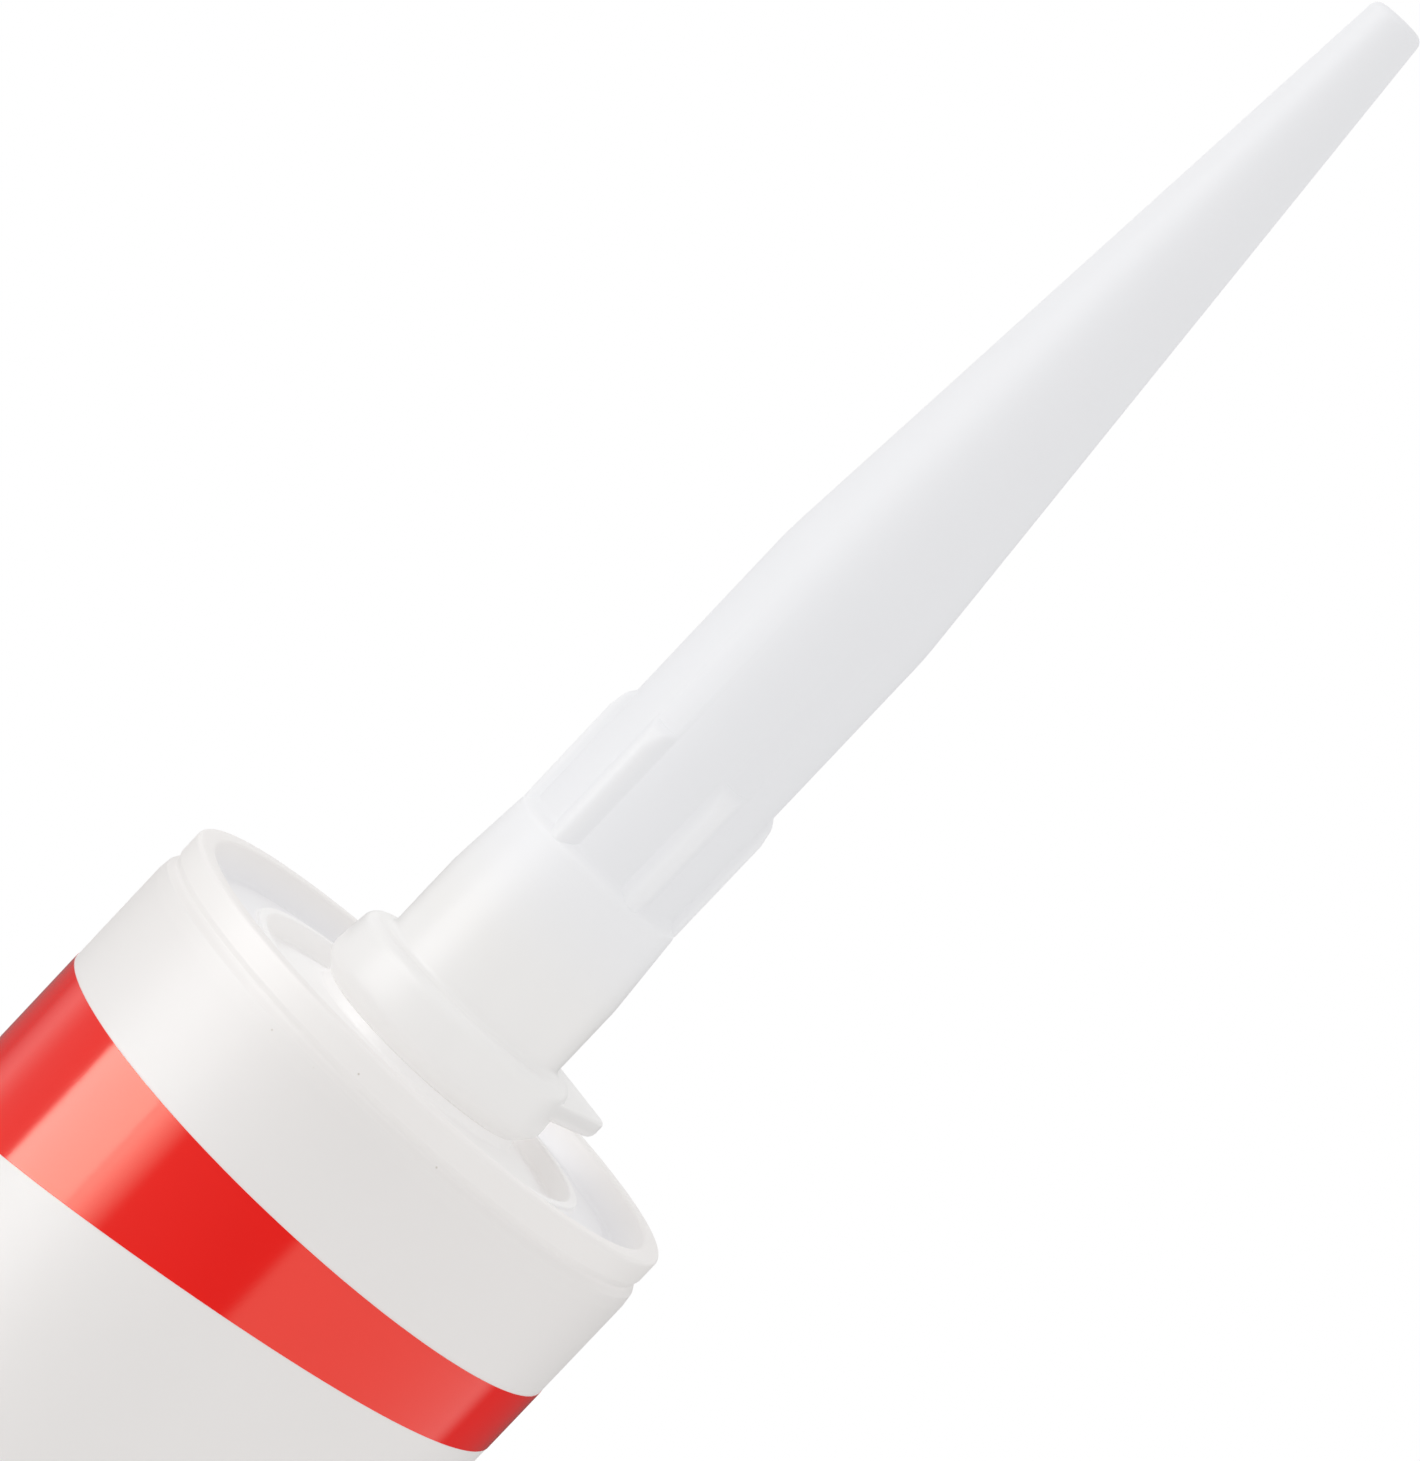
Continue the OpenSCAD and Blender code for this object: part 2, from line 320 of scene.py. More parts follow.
def makeNozzle():
    # from the tip down the bore, round the foot and up the outside
    n = nozzle
    top = seatZ + n["flangeH"]
    taper = seatZ + n["taperH"]
    pipeFoot = taper + n["taperR"] - n["pipeR"]
    pipeTop = seatZ + n["pipeH"]
    pipeBore = n["pipeR"] - n["wall"]
    corners = [
        (0, tipZ - n["tipPlug"], 0),
        (n["tipR"] / 2, tipZ - n["tipPlug"] - n["boreCrown"], 0.3),
        (pipeBore, pipeTop, 20),
        (pipeBore, pipeFoot, 0.5),
        (n["socketR"], pipeFoot - n["socketRoof"], 0.5),
        (n["socketR"], seatZ, 0.3),
        (n["flangeFootR"], seatZ, 0.1),
        (n["flangeR"] + n["flangeBulge"], seatZ + n["flangeFootH"], 1.5),
        (n["flangeR"] - n["flangeTaper"], top, 1.6),
        (n["skirtR"], top, 0.7),
        (n["skirtR"], seatZ + n["skirtH"], 12),
        (n["taperR"], taper, 0.7),
        (n["pipeR"], pipeFoot, 0.9),
        (n["pipeR"], pipeTop, 30),
        (n["tipR"], tipZ - n["tipCrown"], n["tipRound"]),
        (0, tipZ, 0),
    ]
    return lathe("nozzleShell", corners, n["sides"])


nozzleShell = makeNozzle()

lug = {
    "reach": 15.9,
    "width": 9.8,
    "thickness": 1.9,
    "rise": 2.9,
    "angle": 42,
    "cornerR": 1.4,
    "footEdge": 0.85,
    "topEdge": 0.35,
    "collarSides": 96,
    "cornerSides": 32,
}


def makeLug():
    # three round pads wrapped by one hull, then the rims bevelled
    s = lug
    middle = (seatZ + s["rise"] + s["thickness"] / 2) * mm
    reach = s["reach"] - s["cornerR"]
    side = s["width"] / 2 - s["cornerR"]
    turn = math.radians(s["angle"])
    pads = [
        (0, 0, nozzle["flangeR"] - nozzle["flangeTaper"], s["collarSides"]),
        (reach, side, s["cornerR"], s["cornerSides"]),
        (reach, -side, s["cornerR"], s["cornerSides"]),
    ]
    bpy.ops.object.select_all(action="DESELECT")
    made = []
    for x, y, r, sides in pads:
        place = Matrix.Rotation(turn, 2) @ Vector((x, y)) * mm
        bpy.ops.mesh.primitive_cylinder_add(
            vertices=sides, radius=r * mm, depth=s["thickness"] * mm, location=(place[0], place[1], middle),
        )
        made.append(bpy.context.object)
    for pad in made:
        pad.select_set(True)
    bpy.context.view_layer.objects.active = made[0]
    bpy.ops.object.join()
    piece = made[0]
    piece.name = "lug"
    bpy.ops.object.transform_apply(location=True, rotation=True, scale=True)
    openEdit(piece)
    bpy.ops.mesh.convex_hull()
    bpy.ops.mesh.select_all(action="SELECT")
    bpy.ops.mesh.dissolve_limited(angle_limit=math.radians(1))
    bpy.ops.object.mode_set(mode="OBJECT")
    weights = piece.data.attributes.new("bevel_weight_edge", "FLOAT", "EDGE")
    for edge in piece.data.edges:
        ends = [piece.data.vertices[index].co.z for index in edge.vertices]
        if abs(ends[0] - ends[1]) < 0.1 * mm:  # a level edge
            weights.data[edge.index].value = 1 if ends[0] < middle else s["topEdge"] / s["footEdge"]
    applyModifier(piece, "BEVEL", width=s["footEdge"] * mm, segments=4, limit_method="WEIGHT")
    return piece


ribs = {
    "count": 6,
    "crest": 0.7,
    "foot": 4,
    "height": 12.6,
    "slope": 2.6,  # height of the rounded upper end
    "knee": (0.3, 1.0),  # the bend in that end, back from the crest and below the top
    "toe": (0.02, 0.1),  # back from the crest and below the taper's top
    "rootDrop": 0.6,
    "rootRise": 0.5,
    "edge": 0.35,
    "edgeAngle": 20,
}


def makeRib(turn):
    s = ribs
    n = nozzle
    foot = seatZ + n["taperH"]
    top = foot + s["height"]
    inner = n["pipeR"] - n["wall"] / 2
    outline = [
        (inner, foot - s["rootDrop"]),
        (n["taperR"] - s["toe"][0], foot - s["toe"][1]),
        (n["taperR"], top - s["slope"]),
        (n["taperR"] - s["knee"][0], top - s["knee"][1]),
        (inner, top + s["rootRise"]),
    ]
    bpy.ops.object.select_all(action="DESELECT")
    bpy.ops.mesh.primitive_circle_add(vertices=len(outline), radius=mm, fill_type="NGON")
    piece = addPiece("rib")
    for vertex, (r, z) in zip(piece.data.vertices, outline):
        vertex.co = (r * mm, 0.5, z * mm)
    openEdit(piece)
    bpy.ops.mesh.extrude_region_move(TRANSFORM_OT_translate={"value": (0, -1, 0)})
    bpy.ops.mesh.select_all(action="SELECT")
    closeEdit()
    # the slab is 1 wide so far; its width goes from foot to crest as it leaves the pipe
    for vertex in piece.data.vertices:
        outer = (vertex.co.x / mm - inner) / (n["taperR"] - inner)
        vertex.co.y *= (s["foot"] + (s["crest"] - s["foot"]) * outer) * mm
    applyModifier(
        piece, "BEVEL", width=s["edge"] * mm, segments=4, limit_method="ANGLE",
        angle_limit=math.radians(s["edgeAngle"]),
    )
    piece.data.transform(Matrix.Rotation(turn, 4, "Z"))
    return piece


socketFoot = seatZ + thread["foot"] - thread["pitch"] / 2
fuse(nozzleShell, makeThread("socketThread", nozzle["socketR"], -thread["rise"], socketFoot))
fuse(nozzleShell, makeLug())
for number in range(ribs["count"]):
    fuse(nozzleShell, makeRib(math.tau * number / ribs["count"]))
print("nozzle made")

# Plunger

plunger = {
    "lipR": 23.65,
    "lipStep": 0.7,  # height of the slope between a lip and the waist
    "rearLipH": 2,
    "rearLipBevel": (0.3, 0.5),  # inwards and upwards
    "frontLip": (3.5, 1.5),  # its foot and its top, below the cup's edge
    "frontLipBevel": 1.1,
    "waistR": 22.95,
    "cupR": 21.85,
    "cupChamfer": 0.4,
    "height": 17,
    "wall": 1.6,
    "webDrop": 0.9,
    "webInset": 0.4,
    "domeFlatR": 9,
    "domeInset": 0.5,
    "hubR": 6,
    "hubSides": 64,
    "ribs": 6,
    "ribDepth": 3.5,
    "ribWidth": 1.2,
    "ribRoot": 0.5,  # how far a rib's end lies inside the cup's wall
    "ribEdge": 0.15,
    "sides": 144,
}


def makePlungerRib(high, low, roof):
    p = plunger
    bpy.ops.object.select_all(action="DESELECT")
    bpy.ops.mesh.primitive_cube_add(size=1)
    rib = addPiece("rib")
    inside = p["hubR"] / 2
    outside = p["cupR"] + p["ribRoot"]
    rib.data.transform(Matrix.Diagonal(((outside - inside) * mm, p["ribWidth"] * mm, (high - low) * mm, 1)))
    rib.data.transform(Matrix.Translation(((outside + inside) / 2 * mm, 0, (high + low) / 2 * mm)))
    for vertex in rib.data.vertices:
        if vertex.co.x < p["hubR"] * mm and vertex.co.z > (high + low) / 2 * mm:
            vertex.co.z = roof * mm
    applyModifier(rib, "BEVEL", width=p["ribEdge"] * mm, segments=2)
    return rib


def makePlunger():
    p = plunger
    foot = plungerLow[2] / mm
    dome = plungerHigh[2] / mm
    top = foot + p["height"]
    web = top - p["wall"]
    lipFoot, lipTop = p["frontLip"]
    bevelIn, bevelUp = p["rearLipBevel"]
    corners = [
        (0, dome - p["wall"], 0),
        (p["domeFlatR"] - p["domeInset"], dome - p["wall"], 1),
        (p["cupR"] - p["webInset"], web - p["webDrop"], 1),
        (p["cupR"], foot + p["cupChamfer"], 0.3),
        (p["cupR"] + p["cupChamfer"], foot, 0.2),
        (p["lipR"] - bevelIn, foot, 0.2),
        (p["lipR"], foot + bevelUp, 0.3),
        (p["lipR"], foot + p["rearLipH"], 0.2),
        (p["waistR"], foot + p["rearLipH"] + p["lipStep"], 0.4),
        (p["waistR"], top - lipFoot - p["lipStep"], 0.4),
        (p["lipR"], top - lipFoot, 0.2),
        (p["lipR"], top - lipTop, 0.4),
        (p["lipR"] - p["frontLipBevel"], top, 0.6),
        (p["domeFlatR"], dome, 1.5),
        (0, dome, 0),
    ]
    shell = lathe("plungerCup", corners, p["sides"])
    ribEnd = web - p["ribDepth"]
    roof = dome - p["wall"] / 2
    hubCorners = [(0, roof, 0), (p["hubR"], roof, 0), (p["hubR"], ribEnd, 0.3), (0, ribEnd, 0)]
    fuse(shell, lathe("hub", hubCorners, p["hubSides"]))
    for number in range(p["ribs"]):
        rib = makePlungerRib(web - p["webDrop"], ribEnd, roof)
        rib.data.transform(Matrix.Rotation(math.tau * number / p["ribs"], 4, "Z"))
        fuse(shell, rib)
    return shell


plungerCup = makePlunger()
print("plunger made")

# Sealant in the barrel

sealant = {
    "wallGap": 0.1,
    "faceGap": 0.3,
    "left": 0.24,  # thickness that is left of it when the plunger is right forward
    "sides": 96,
}


def makeSealant():
    gap = sealant["wallGap"]
    bore = cartridge["bore"] - gap
    neckBore = cartridge["neckBore"] - gap
    shoulder = cartridge["shoulder"] + gap
    neckTop = neckTopZ - cartridge["membrane"] - gap
    top = plungerLow[2] / mm + plunger["height"] + sealant["faceGap"]
    dome = plungerHigh[2] / mm + sealant["faceGap"]
    corners = [
        (0, dome, 0),
        (plunger["domeFlatR"], dome, 1.5),
        (plunger["lipR"] - plunger["frontLipBevel"], top, 0.4),
        (bore, top, 0.2),
        (bore, roofZ - gap, 0.8),
        (coreR - gap, roofZ - gap, 0.4),
        (coreR - gap, flareZ - shoulder, 0.3),
        (neckBore, seatZ - shoulder, 0.3),
        (neckBore, neckTop, 0.5),
        (0, neckTop, 0),
    ]
    return lathe("sealantPaste", corners, sealant["sides"])


sealantPaste = makeSealant()

# Printed band

band = {
    "lift": 0.01,
    "film": 0.03,
    "narrow": 4.5,
    "sweepR": 300,
    "sweepX": 55.4,
    "angle": 75,  # from -Y towards +X
    "sides": 288,
}


def makeBand():
    # an open ring whose lower edge follows a long arc
    b = band
    topZ = bandHigh[2] / mm
    radius = barrelR + b["lift"]
    bpy.ops.object.select_all(action="DESELECT")
    bpy.ops.mesh.primitive_cylinder_add(
        vertices=b["sides"], radius=radius * mm, depth=mm, end_fill_type="NOTHING",
    )
    piece = addPiece("bandFilm")
    for vertex in piece.data.vertices:
        direction = math.atan2(vertex.co.x, -vertex.co.y)
        along = radius * math.cos(direction - math.radians(b["angle"]))
        away = b["sweepX"] - along
        width = b["narrow"] + b["sweepR"] - math.sqrt(b["sweepR"] ** 2 - away ** 2)
        vertex.co.z = (topZ if vertex.co.z > 0 else topZ - width) * mm
    applyModifier(piece, "SOLIDIFY", thickness=b["film"] * mm, offset=1)
    return piece


bandFilm = makeBand()
print("sealant and band made")


# Materials

class Wire:
    def __init__(self, shader, socket):
        self.shader = shader
        self.socket = socket

    def maths(self, operation, first, second):
        return self.shader.node("ShaderNodeMath", {"operation": operation}, {0: first, 1: second})

    def __add__(self, other):
        return self.maths("ADD", self, other)

    def __radd__(self, other):
        return self.maths("ADD", other, self)

    def __sub__(self, other):
        return self.maths("SUBTRACT", self, other)

    def __rsub__(self, other):
        return self.maths("SUBTRACT", other, self)

    def __mul__(self, other):
        return self.maths("MULTIPLY", self, other)

    def __rmul__(self, other):
        return self.maths("MULTIPLY", other, self)


class Shader:
    def __init__(self, holder):
        self.holder = holder
        holder.use_nodes = True
        self.tree = holder.node_tree
        self.tree.nodes.clear()

    def node(self, kind, settings=None, sockets=None, output=0):
        made = self.tree.nodes.new(kind)
        for key, value in (settings or {}).items():
            if key == "stops":
                ramp = made.color_ramp
                for index, (position, colour) in enumerate(value):
                    element = ramp.elements[index] if index < 2 else ramp.elements.new(position)
                    element.position = position
                    element.color = colour
            else:
                setattr(made, key, value)
        for key, value in (sockets or {}).items():
            if isinstance(value, Wire):
                self.tree.links.new(value.socket, made.inputs[key])
            else:
                made.inputs[key].default_value = value
        return Wire(self, made.outputs[output]) if len(made.outputs) else None

    def mixColours(self, factor, first, second, blend="MIX"):
        # sockets 6 and 7 are the two colours of a Mix node, and output 2 is its colour
        settings = {"data_type": "RGBA", "blend_type": blend}
        return self.node("ShaderNodeMix", settings, {0: factor, 6: first, 7: second}, 2)

    def mottled(self, mottle, colour, share):
        # the colour, going down to a share of itself where the mottle is full
        return self.mixColours(mottle, colour, tuple(v * share for v in colour[:3]) + (1,))

    def place(self):
        return self.node("ShaderNodeTexCoord", output=3)  # object coordinates

    def axes(self, vector):
        outputs = self.node("ShaderNodeSeparateXYZ", {}, {0: vector}).socket.node.outputs
        return [Wire(self, output) for output in outputs]

    def fromAxis(self):
        x, y, z = self.axes(self.place())
        flat = self.node("ShaderNodeCombineXYZ", {}, {0: x, 1: y})
        return self.node("ShaderNodeVectorMath", {"operation": "LENGTH"}, {0: flat}, 1)

    def noise(self, scale, detail=2):
        sockets = {"Vector": self.place(), "Scale": scale, "Detail": detail, "Roughness": 0.5}
        return self.node("ShaderNodeTexNoise", {}, sockets)

    def ramp(self, value, zeroAt, oneAt):
        sockets = {"Value": value, "From Min": zeroAt, "From Max": oneAt}
        return self.node("ShaderNodeMapRange", {"interpolation_type": "SMOOTHSTEP"}, sockets)

    def bump(self, height, strength, distance):
        sockets = {"Height": height, "Strength": strength, "Distance": distance}
        return self.node("ShaderNodeBump", {}, sockets)

    def finish(self, surface):
        self.node("ShaderNodeOutputMaterial", {}, {"Surface": surface})


def newMaterial(name):
    return Shader(bpy.data.materials.new(name))


# Specks round the collar's foot: degrees from -Y towards +X, mm below the rim, mm across
specks = [
    (-22.2, 4.1, 0.16), (-12.1, 3.8, 0.16), (-5.7, 1.8, 0.14),
    (-2.5, 2.6, 0.14), (15.5, 3.0, 0.16), (20.1, 2.6, 0.16),
]

# A fade's two numbers are mm from the level or radius that it starts at, or below the rim
cartridgeFinish = {
    "white": (0.88, 0.855, 0.84, 1),
    "collar": (0.925, 0.9, 0.883, 1),
    # painted light: the recess colour is lighter and bluer than the barrel, to lift the shade in the recess
    "recess": (0.91, 0.905, 0.92, 1),
    # painted light: lighter still, used round the boss and towards the front of the recess
    "boss": (0.985, 0.975, 0.97, 1),
    "speck": (0.52, 0.46, 0.38, 1),
    "speckStrength": 0.6,
    "speckFade": (0.06, -0.04),
    "collarFade": (3.2, 2.4),
    "wallFade": (0.2, -0.2),
    "channelFade": (-0.6, -0.1),
    "stepFade": (0.4, -0.1),
    "paintedFrontFade": (-4, -12),
    "scuffLowFade": (3.4, 2.9),
    "scuffHighFade": (1.9, 2.4),
    "mottleScale": 60,
    "mottleShare": 0.97,
    "grainScale": 900,
    "grainRoughness": 0.06,
    "scuffScale": 1400,
    "scuffBump": 3,
    "bump": 0.15,
    "bumpDepth": 0.05 * mm,
    "roughness": 0.45,
    "recessRoughness": 0.33,
    "specular": 0.35,
}


def addSpecks(s, tint):
    c = cartridge
    f = cartridgeFinish
    dirt = 0
    for azimuth, drop, across in specks:
        turn = math.radians(azimuth)
        r = barrelR if drop > c["beadDrop"] else c["collarR"]
        spot = (r * math.sin(turn) * mm, -r * math.cos(turn) * mm, (rimZ - drop) * mm)
        reach = s.node("ShaderNodeVectorMath", {"operation": "DISTANCE"}, {0: s.place(), 1: spot}, 1)
        outer, inner = [(across / 2 + fade) * mm for fade in f["speckFade"]]
        dirt = s.ramp(reach, outer, inner) + dirt
    return s.mixColours(dirt * f["speckStrength"], tint, f["speck"])


def cartridgePlastic():
    s = newMaterial("cartridgePlastic")
    f = cartridgeFinish
    c = cartridge

    def belowRim(fade):
        return [(rimZ - drop) * mm for drop in f[fade]]

    mottle = s.noise(f["mottleScale"], 3)
    x, y, z = s.axes(s.place())
    away = s.fromAxis()
    wall = f["wallFade"]
    inside = s.ramp(away, (c["rimInsideR"] + wall[0]) * mm, (c["recessR"] + wall[1]) * mm)
    inside = inside * s.ramp(z, *[(channelZ + fade) * mm for fade in f["channelFade"]])
    shade = s.mottled(mottle, f["white"], f["mottleShare"])
    shade = s.mixColours(s.ramp(z, *belowRim("collarFade")), shade, f["collar"])
    near = s.ramp(away, *[(c["innerStepR"] + fade) * mm for fade in f["stepFade"]])
    # painted light: the recess takes the lighter boss colour near the boss and towards the front
    paintedFront = s.ramp(y, *[fade * mm for fade in f["paintedFrontFade"]])
    paintedLight = s.mixColours(near + (1 - near) * paintedFront, f["recess"], f["boss"])
    tint = addSpecks(s, s.mixColours(inside, shade, paintedLight))
    groove = s.ramp(z, *belowRim("scuffLowFade")) * s.ramp(z, *belowRim("scuffHighFade"))
    scuffs = s.noise(f["scuffScale"], 3) * groove
    grain = s.noise(f["grainScale"]) * f["grainRoughness"]
    glossy = inside * (1 - near) * (f["recessRoughness"] - f["roughness"])
    s.finish(s.node("ShaderNodeBsdfPrincipled", {}, {
        "Base Color": tint,
        "Roughness": f["roughness"] + grain + glossy,
        "Specular IOR Level": f["specular"],
        "Normal": s.bump(mottle + scuffs * f["scuffBump"], f["bump"], f["bumpDepth"]),
    }))
    return s.holder


nozzleFinish = {
    # painted light: the foot is lighter and warmer and the tip cooler, standing in for bounced light and
    # light through the wall
    "foot": (0.945, 0.935, 0.925, 1),
    "tip": (0.907, 0.91, 0.928, 1),
    "tipFade": (10, 24),  # mm above the seat
    "rib": (0.95, 0.95, 0.963, 1),  # painted light: lighter, standing in for light through the thin ribs
    "ribFade": 0.1,  # mm outside the pipe
    "mottleScale": 80,
    "mottleShare": 0.04,
    "mottleGrey": (0.6, 0.6, 0.6, 1),
    "mottleRoughness": 0.06,
    "bump": 0.15,
    "bumpDepth": 0.06 * mm,
    "roughness": 0.3,
    "pipeRoughness": 0.5,
    "specular": 0.13,
}


def nozzlePlastic():
    s = newMaterial("nozzlePlastic")
    f = nozzleFinish
    mottle = s.noise(f["mottleScale"], 3)
    x, y, z = s.axes(s.place())
    rise = s.ramp(z, *[(seatZ + fade) * mm for fade in f["tipFade"]])
    thin = s.ramp(s.fromAxis(), (nozzle["pipeR"] + f["ribFade"]) * mm, nozzle["taperR"] * mm) * rise
    # painted light: the colour goes from the lit, warm foot to the cooler tip
    plain = s.mixColours(rise, f["foot"], f["tip"])
    # painted light: the ribs take the lighter rib colour
    plain = s.mixColours(thin, plain, f["rib"])
    smoother = rise * (f["pipeRoughness"] - f["roughness"])
    s.finish(s.node("ShaderNodeBsdfPrincipled", {}, {
        "Base Color": s.mixColours(mottle * f["mottleShare"], plain, f["mottleGrey"], "MULTIPLY"),
        "Roughness": f["roughness"] + smoother + mottle * f["mottleRoughness"],
        "Specular IOR Level": f["specular"],
        "Normal": s.bump(mottle, f["bump"], f["bumpDepth"]),
    }))
    return s.holder


inkFinish = {
    "red": (0.94, 0.014, 0.012, 1),
    "mottleScale": 120,
    "mottleShare": 0.94,
    "mottleRoughness": 0.03,
    "roughness": 0.1,
    "specular": 0.5,
    "gloss": (1, 0.98, 0.76, 1),
}


def redInk():
    s = newMaterial("redInk")
    f = inkFinish
    mottle = s.noise(f["mottleScale"], 3)
    s.finish(s.node("ShaderNodeBsdfPrincipled", {}, {
        "Base Color": s.mottled(mottle, f["red"], f["mottleShare"]),
        "Roughness": f["roughness"] + mottle * f["mottleRoughness"],
        "Specular IOR Level": f["specular"],
        "Specular Tint": f["gloss"],
    }))
    return s.holder


plungerFinish = {"colour": (0.86, 0.86, 0.83, 1), "roughness": 0.35}
pasteFinish = {"colour": (0.88, 0.87, 0.84, 1), "roughness": 0.25}
paleMottle = {"scale": 90, "share": 0.95, "roughness": 0.08, "bump": 0.2, "bumpDepth": 0.08 * mm}


def palePlastic(name, finish):
    s = newMaterial(name)
    f = paleMottle
    mottle = s.noise(f["scale"], 3)
    s.finish(s.node("ShaderNodeBsdfPrincipled", {}, {
        "Base Color": s.mottled(mottle, finish["colour"], f["share"]),
        "Roughness": finish["roughness"] + mottle * f["roughness"],
        "Normal": s.bump(mottle, f["bump"], f["bumpDepth"]),
    }))
    return s.holder


def wear(piece, material, body, slot, *nodes):
    piece.data.materials.clear()
    piece.data.materials.append(material)
    smooth(piece)
    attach(piece, body)
    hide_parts(*nodes)


plungerPlastic = palePlastic("plungerPlastic", plungerFinish)
wear(cartridgeShell, cartridgePlastic(), "tube", "cartridge_plastic", "cartridge")
wear(nozzleShell, nozzlePlastic(), "nozzle", "nozzle_plastic", "nozzle")
wear(plungerCup, plungerPlastic, "plunger", "plunger_plastic", "plunger")
wear(sealantPaste, palePlastic("sealant", pasteFinish), "tube", "sealant", "sealant_fill")
shoulderZ = (roofZ - sealant["wallGap"]) * mm
keep = sealant["left"] * mm / (shoulderZ - fillLow[2])
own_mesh(sealantPaste)
wear(bandFilm, redInk(), "tube", "red_ink", "red_band")
print("materials on")

# The photograph's view: the tube's axis lies at 46.6 degrees in the picture

photoView = {
    "distance": 480,
    "lens": 150.4,
    "sensor": 36.0,
    "clipStart": 10,
    "pitch": 4.6,  # degrees down
    "roll": 43.4,
    "aside": -1.02,
    "aboveRim": 33.2,
}


def addCamera():
    v = photoView
    data = bpy.data.cameras.new("photoCamera")
    data.lens = v["lens"]
    data.sensor_width = v["sensor"]
    data.clip_start = v["clipStart"] * mm
    camera = bpy.data.objects.new("photoCamera", data)
    bpy.context.scene.collection.objects.link(camera)
    pitch = math.radians(v["pitch"])
    target = Vector((v["aside"], 0, rimZ + v["aboveRim"])) * mm
    forward = Vector((0, math.cos(pitch), -math.sin(pitch)))
    tilt = Matrix.Rotation(math.pi / 2 - pitch, 4, "X")
    roll = Matrix.Rotation(math.radians(v["roll"]), 4, "Z")
    camera.matrix_world = Matrix.Translation(target - forward * v["distance"] * mm) @ tilt @ roll
    bpy.context.scene.camera = camera


addCamera()

# Studio

studio = {
    "ambient": 0.84,
    "ceiling": 0.9,
    "backdrop": 1.0,
    # where the ceiling, the back wall and the floor's horizon begin, as parts of a direction
    "ceilingFade": (0.5, 0.85),
    "backFade": (0.1, 0.4),
    "horizonFade": (0, 0.08),
    # what gloss sees round the tube, in degrees from -Y towards +X: the dark side is the photographer's
    "surround": [
        (-180, 0.2), (-141, 0.2), (-126, 1.1), (-112, 0.6), (-58, 0.6), (-57, 6.8), (-41, 0.3),
        (0, 0.1), (12, 0.1), (15, 1.6), (90, 1.5), (115, 1.3), (122, 0.15), (180, 0.1),
    ],
    "bounces": 24,  # white plastic keeps its crevices light
}

# Lamps one metre away, in degrees and metres; one for gloss shows only in reflections
lamps = [
    {
        "name": "keyLight", "azimuth": -80, "elevation": 25,
        "size": (1.0, 1.0), "radiance": 0.5, "gloss": False,
    },
    {
        "name": "softbox", "azimuth": -73.5, "elevation": 5,
        "size": (0.6, 1.7), "radiance": 7.2, "gloss": True,
    },
]


def addLamp(spec):
    width, height = spec["size"]
    data = bpy.data.lights.new(spec["name"], "AREA")
    data.shape = "RECTANGLE"
    data.size = width
    data.size_y = height
    data.energy = spec["radiance"] * math.pi * width * height
    lamp = bpy.data.objects.new(spec["name"], data)
    bpy.context.scene.collection.objects.link(lamp)
    turn = math.radians(spec["azimuth"])
    lift = math.radians(spec["elevation"])
    aim = Vector((0, 0, rimZ * mm))
    away = Vector((math.sin(turn) * math.cos(lift), -math.cos(turn) * math.cos(lift), math.sin(lift)))
    facing = away.to_track_quat("Z", "Y").to_matrix().to_4x4()
    lamp.matrix_world = Matrix.Translation(aim + away) @ facing
    lamp.visible_camera = False
    lamp.visible_diffuse = not spec["gloss"]
    lamp.visible_glossy = spec["gloss"]


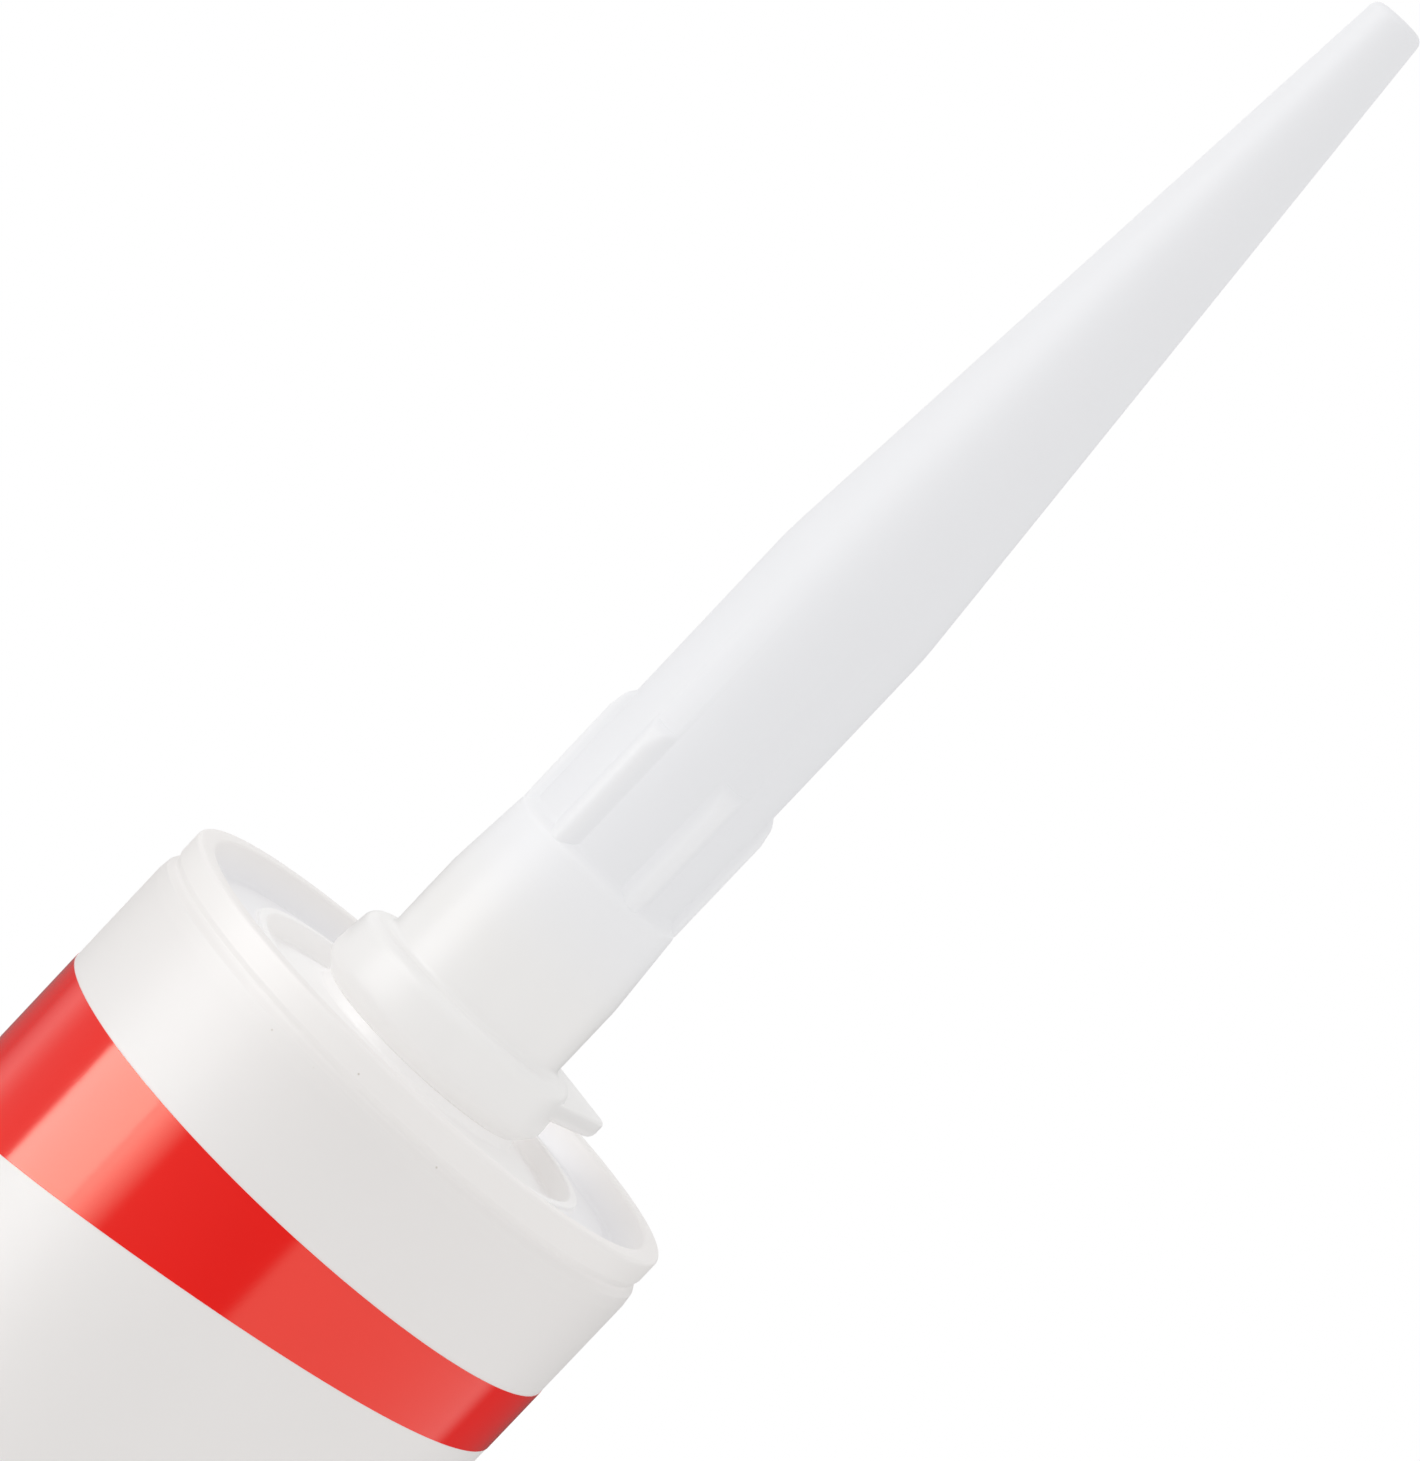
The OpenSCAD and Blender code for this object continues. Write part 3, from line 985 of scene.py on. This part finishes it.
def lightStudio():
    t = studio
    world = bpy.data.worlds.new("studio")
    bpy.context.scene.world = world
    w = Shader(world)
    paths = w.node("ShaderNodeLightPath").socket.node.outputs
    cameraRay = Wire(w, paths["Is Camera Ray"])
    clearRay = Wire(w, paths["Is Transmission Ray"])
    glossRay = Wire(w, paths["Is Glossy Ray"])
    x, y, z = w.axes(w.node("ShaderNodeTexCoord"))
    around = w.node("ShaderNodeMath", {"operation": "ARCTAN2"}, {0: x, 1: 0 - y})
    most = max(level for angle, level in t["surround"])
    stops = [((angle + 180) / 360, (level / most,) * 3 + (1,)) for angle, level in t["surround"]]
    ring = w.node("ShaderNodeValToRGB", {"stops": stops}, {0: around * (0.5 / math.pi) + 0.5})
    above = w.ramp(z, *t["ceilingFade"])
    backdrop = w.ramp(y, *t["backFade"]) * w.ramp(z, *t["horizonFade"])
    walls = backdrop * t["backdrop"] + (1 - backdrop) * ring * most
    glow = above * t["ceiling"] + (1 - above) * walls
    level = (1 - glossRay) * t["ambient"] + glossRay * glow
    seen = cameraRay + clearRay
    strength = seen + (1 - seen) * level
    background = w.node("ShaderNodeBackground", {}, {"Color": (1, 1, 1, 1), "Strength": strength})
    w.node("ShaderNodeOutputWorld", {}, {"Surface": background})
    for spec in lamps:
        addLamp(spec)


floorPaper = {
    "radius": 0.5,
    "sides": 128,
    "edgeFade": (0.48, 0.15),  # clear at the first radius and solid at the second, in metres
    "light": (0.93, 0.93, 0.93, 1),
    "dark": (0.9, 0.9, 0.9, 1),
    "grainScale": 300,
    "roughness": 0.8,
}


def addFloor():
    p = floorPaper
    bpy.ops.object.select_all(action="DESELECT")
    bpy.ops.mesh.primitive_circle_add(vertices=p["sides"], radius=p["radius"], fill_type="NGON")
    floor = addPiece("floor")
    s = newMaterial("floorPaper")
    solid = s.ramp(s.fromAxis(), *p["edgeFade"])
    tint = s.mixColours(s.noise(p["grainScale"]), p["light"], p["dark"])
    paper = s.node("ShaderNodeBsdfPrincipled", {}, {"Base Color": tint, "Roughness": p["roughness"]})
    clear = s.node("ShaderNodeBsdfTransparent")
    s.finish(s.node("ShaderNodeMixShader", {}, {0: solid, 1: clear, 2: paper}))
    floor.data.materials.append(s.holder)


lightStudio()
addFloor()
bpy.context.scene.view_settings.view_transform = "Standard"
bpy.context.scene.cycles.max_bounces = studio["bounces"]
bpy.context.scene.cycles.diffuse_bounces = studio["bounces"]
print("studio lit")
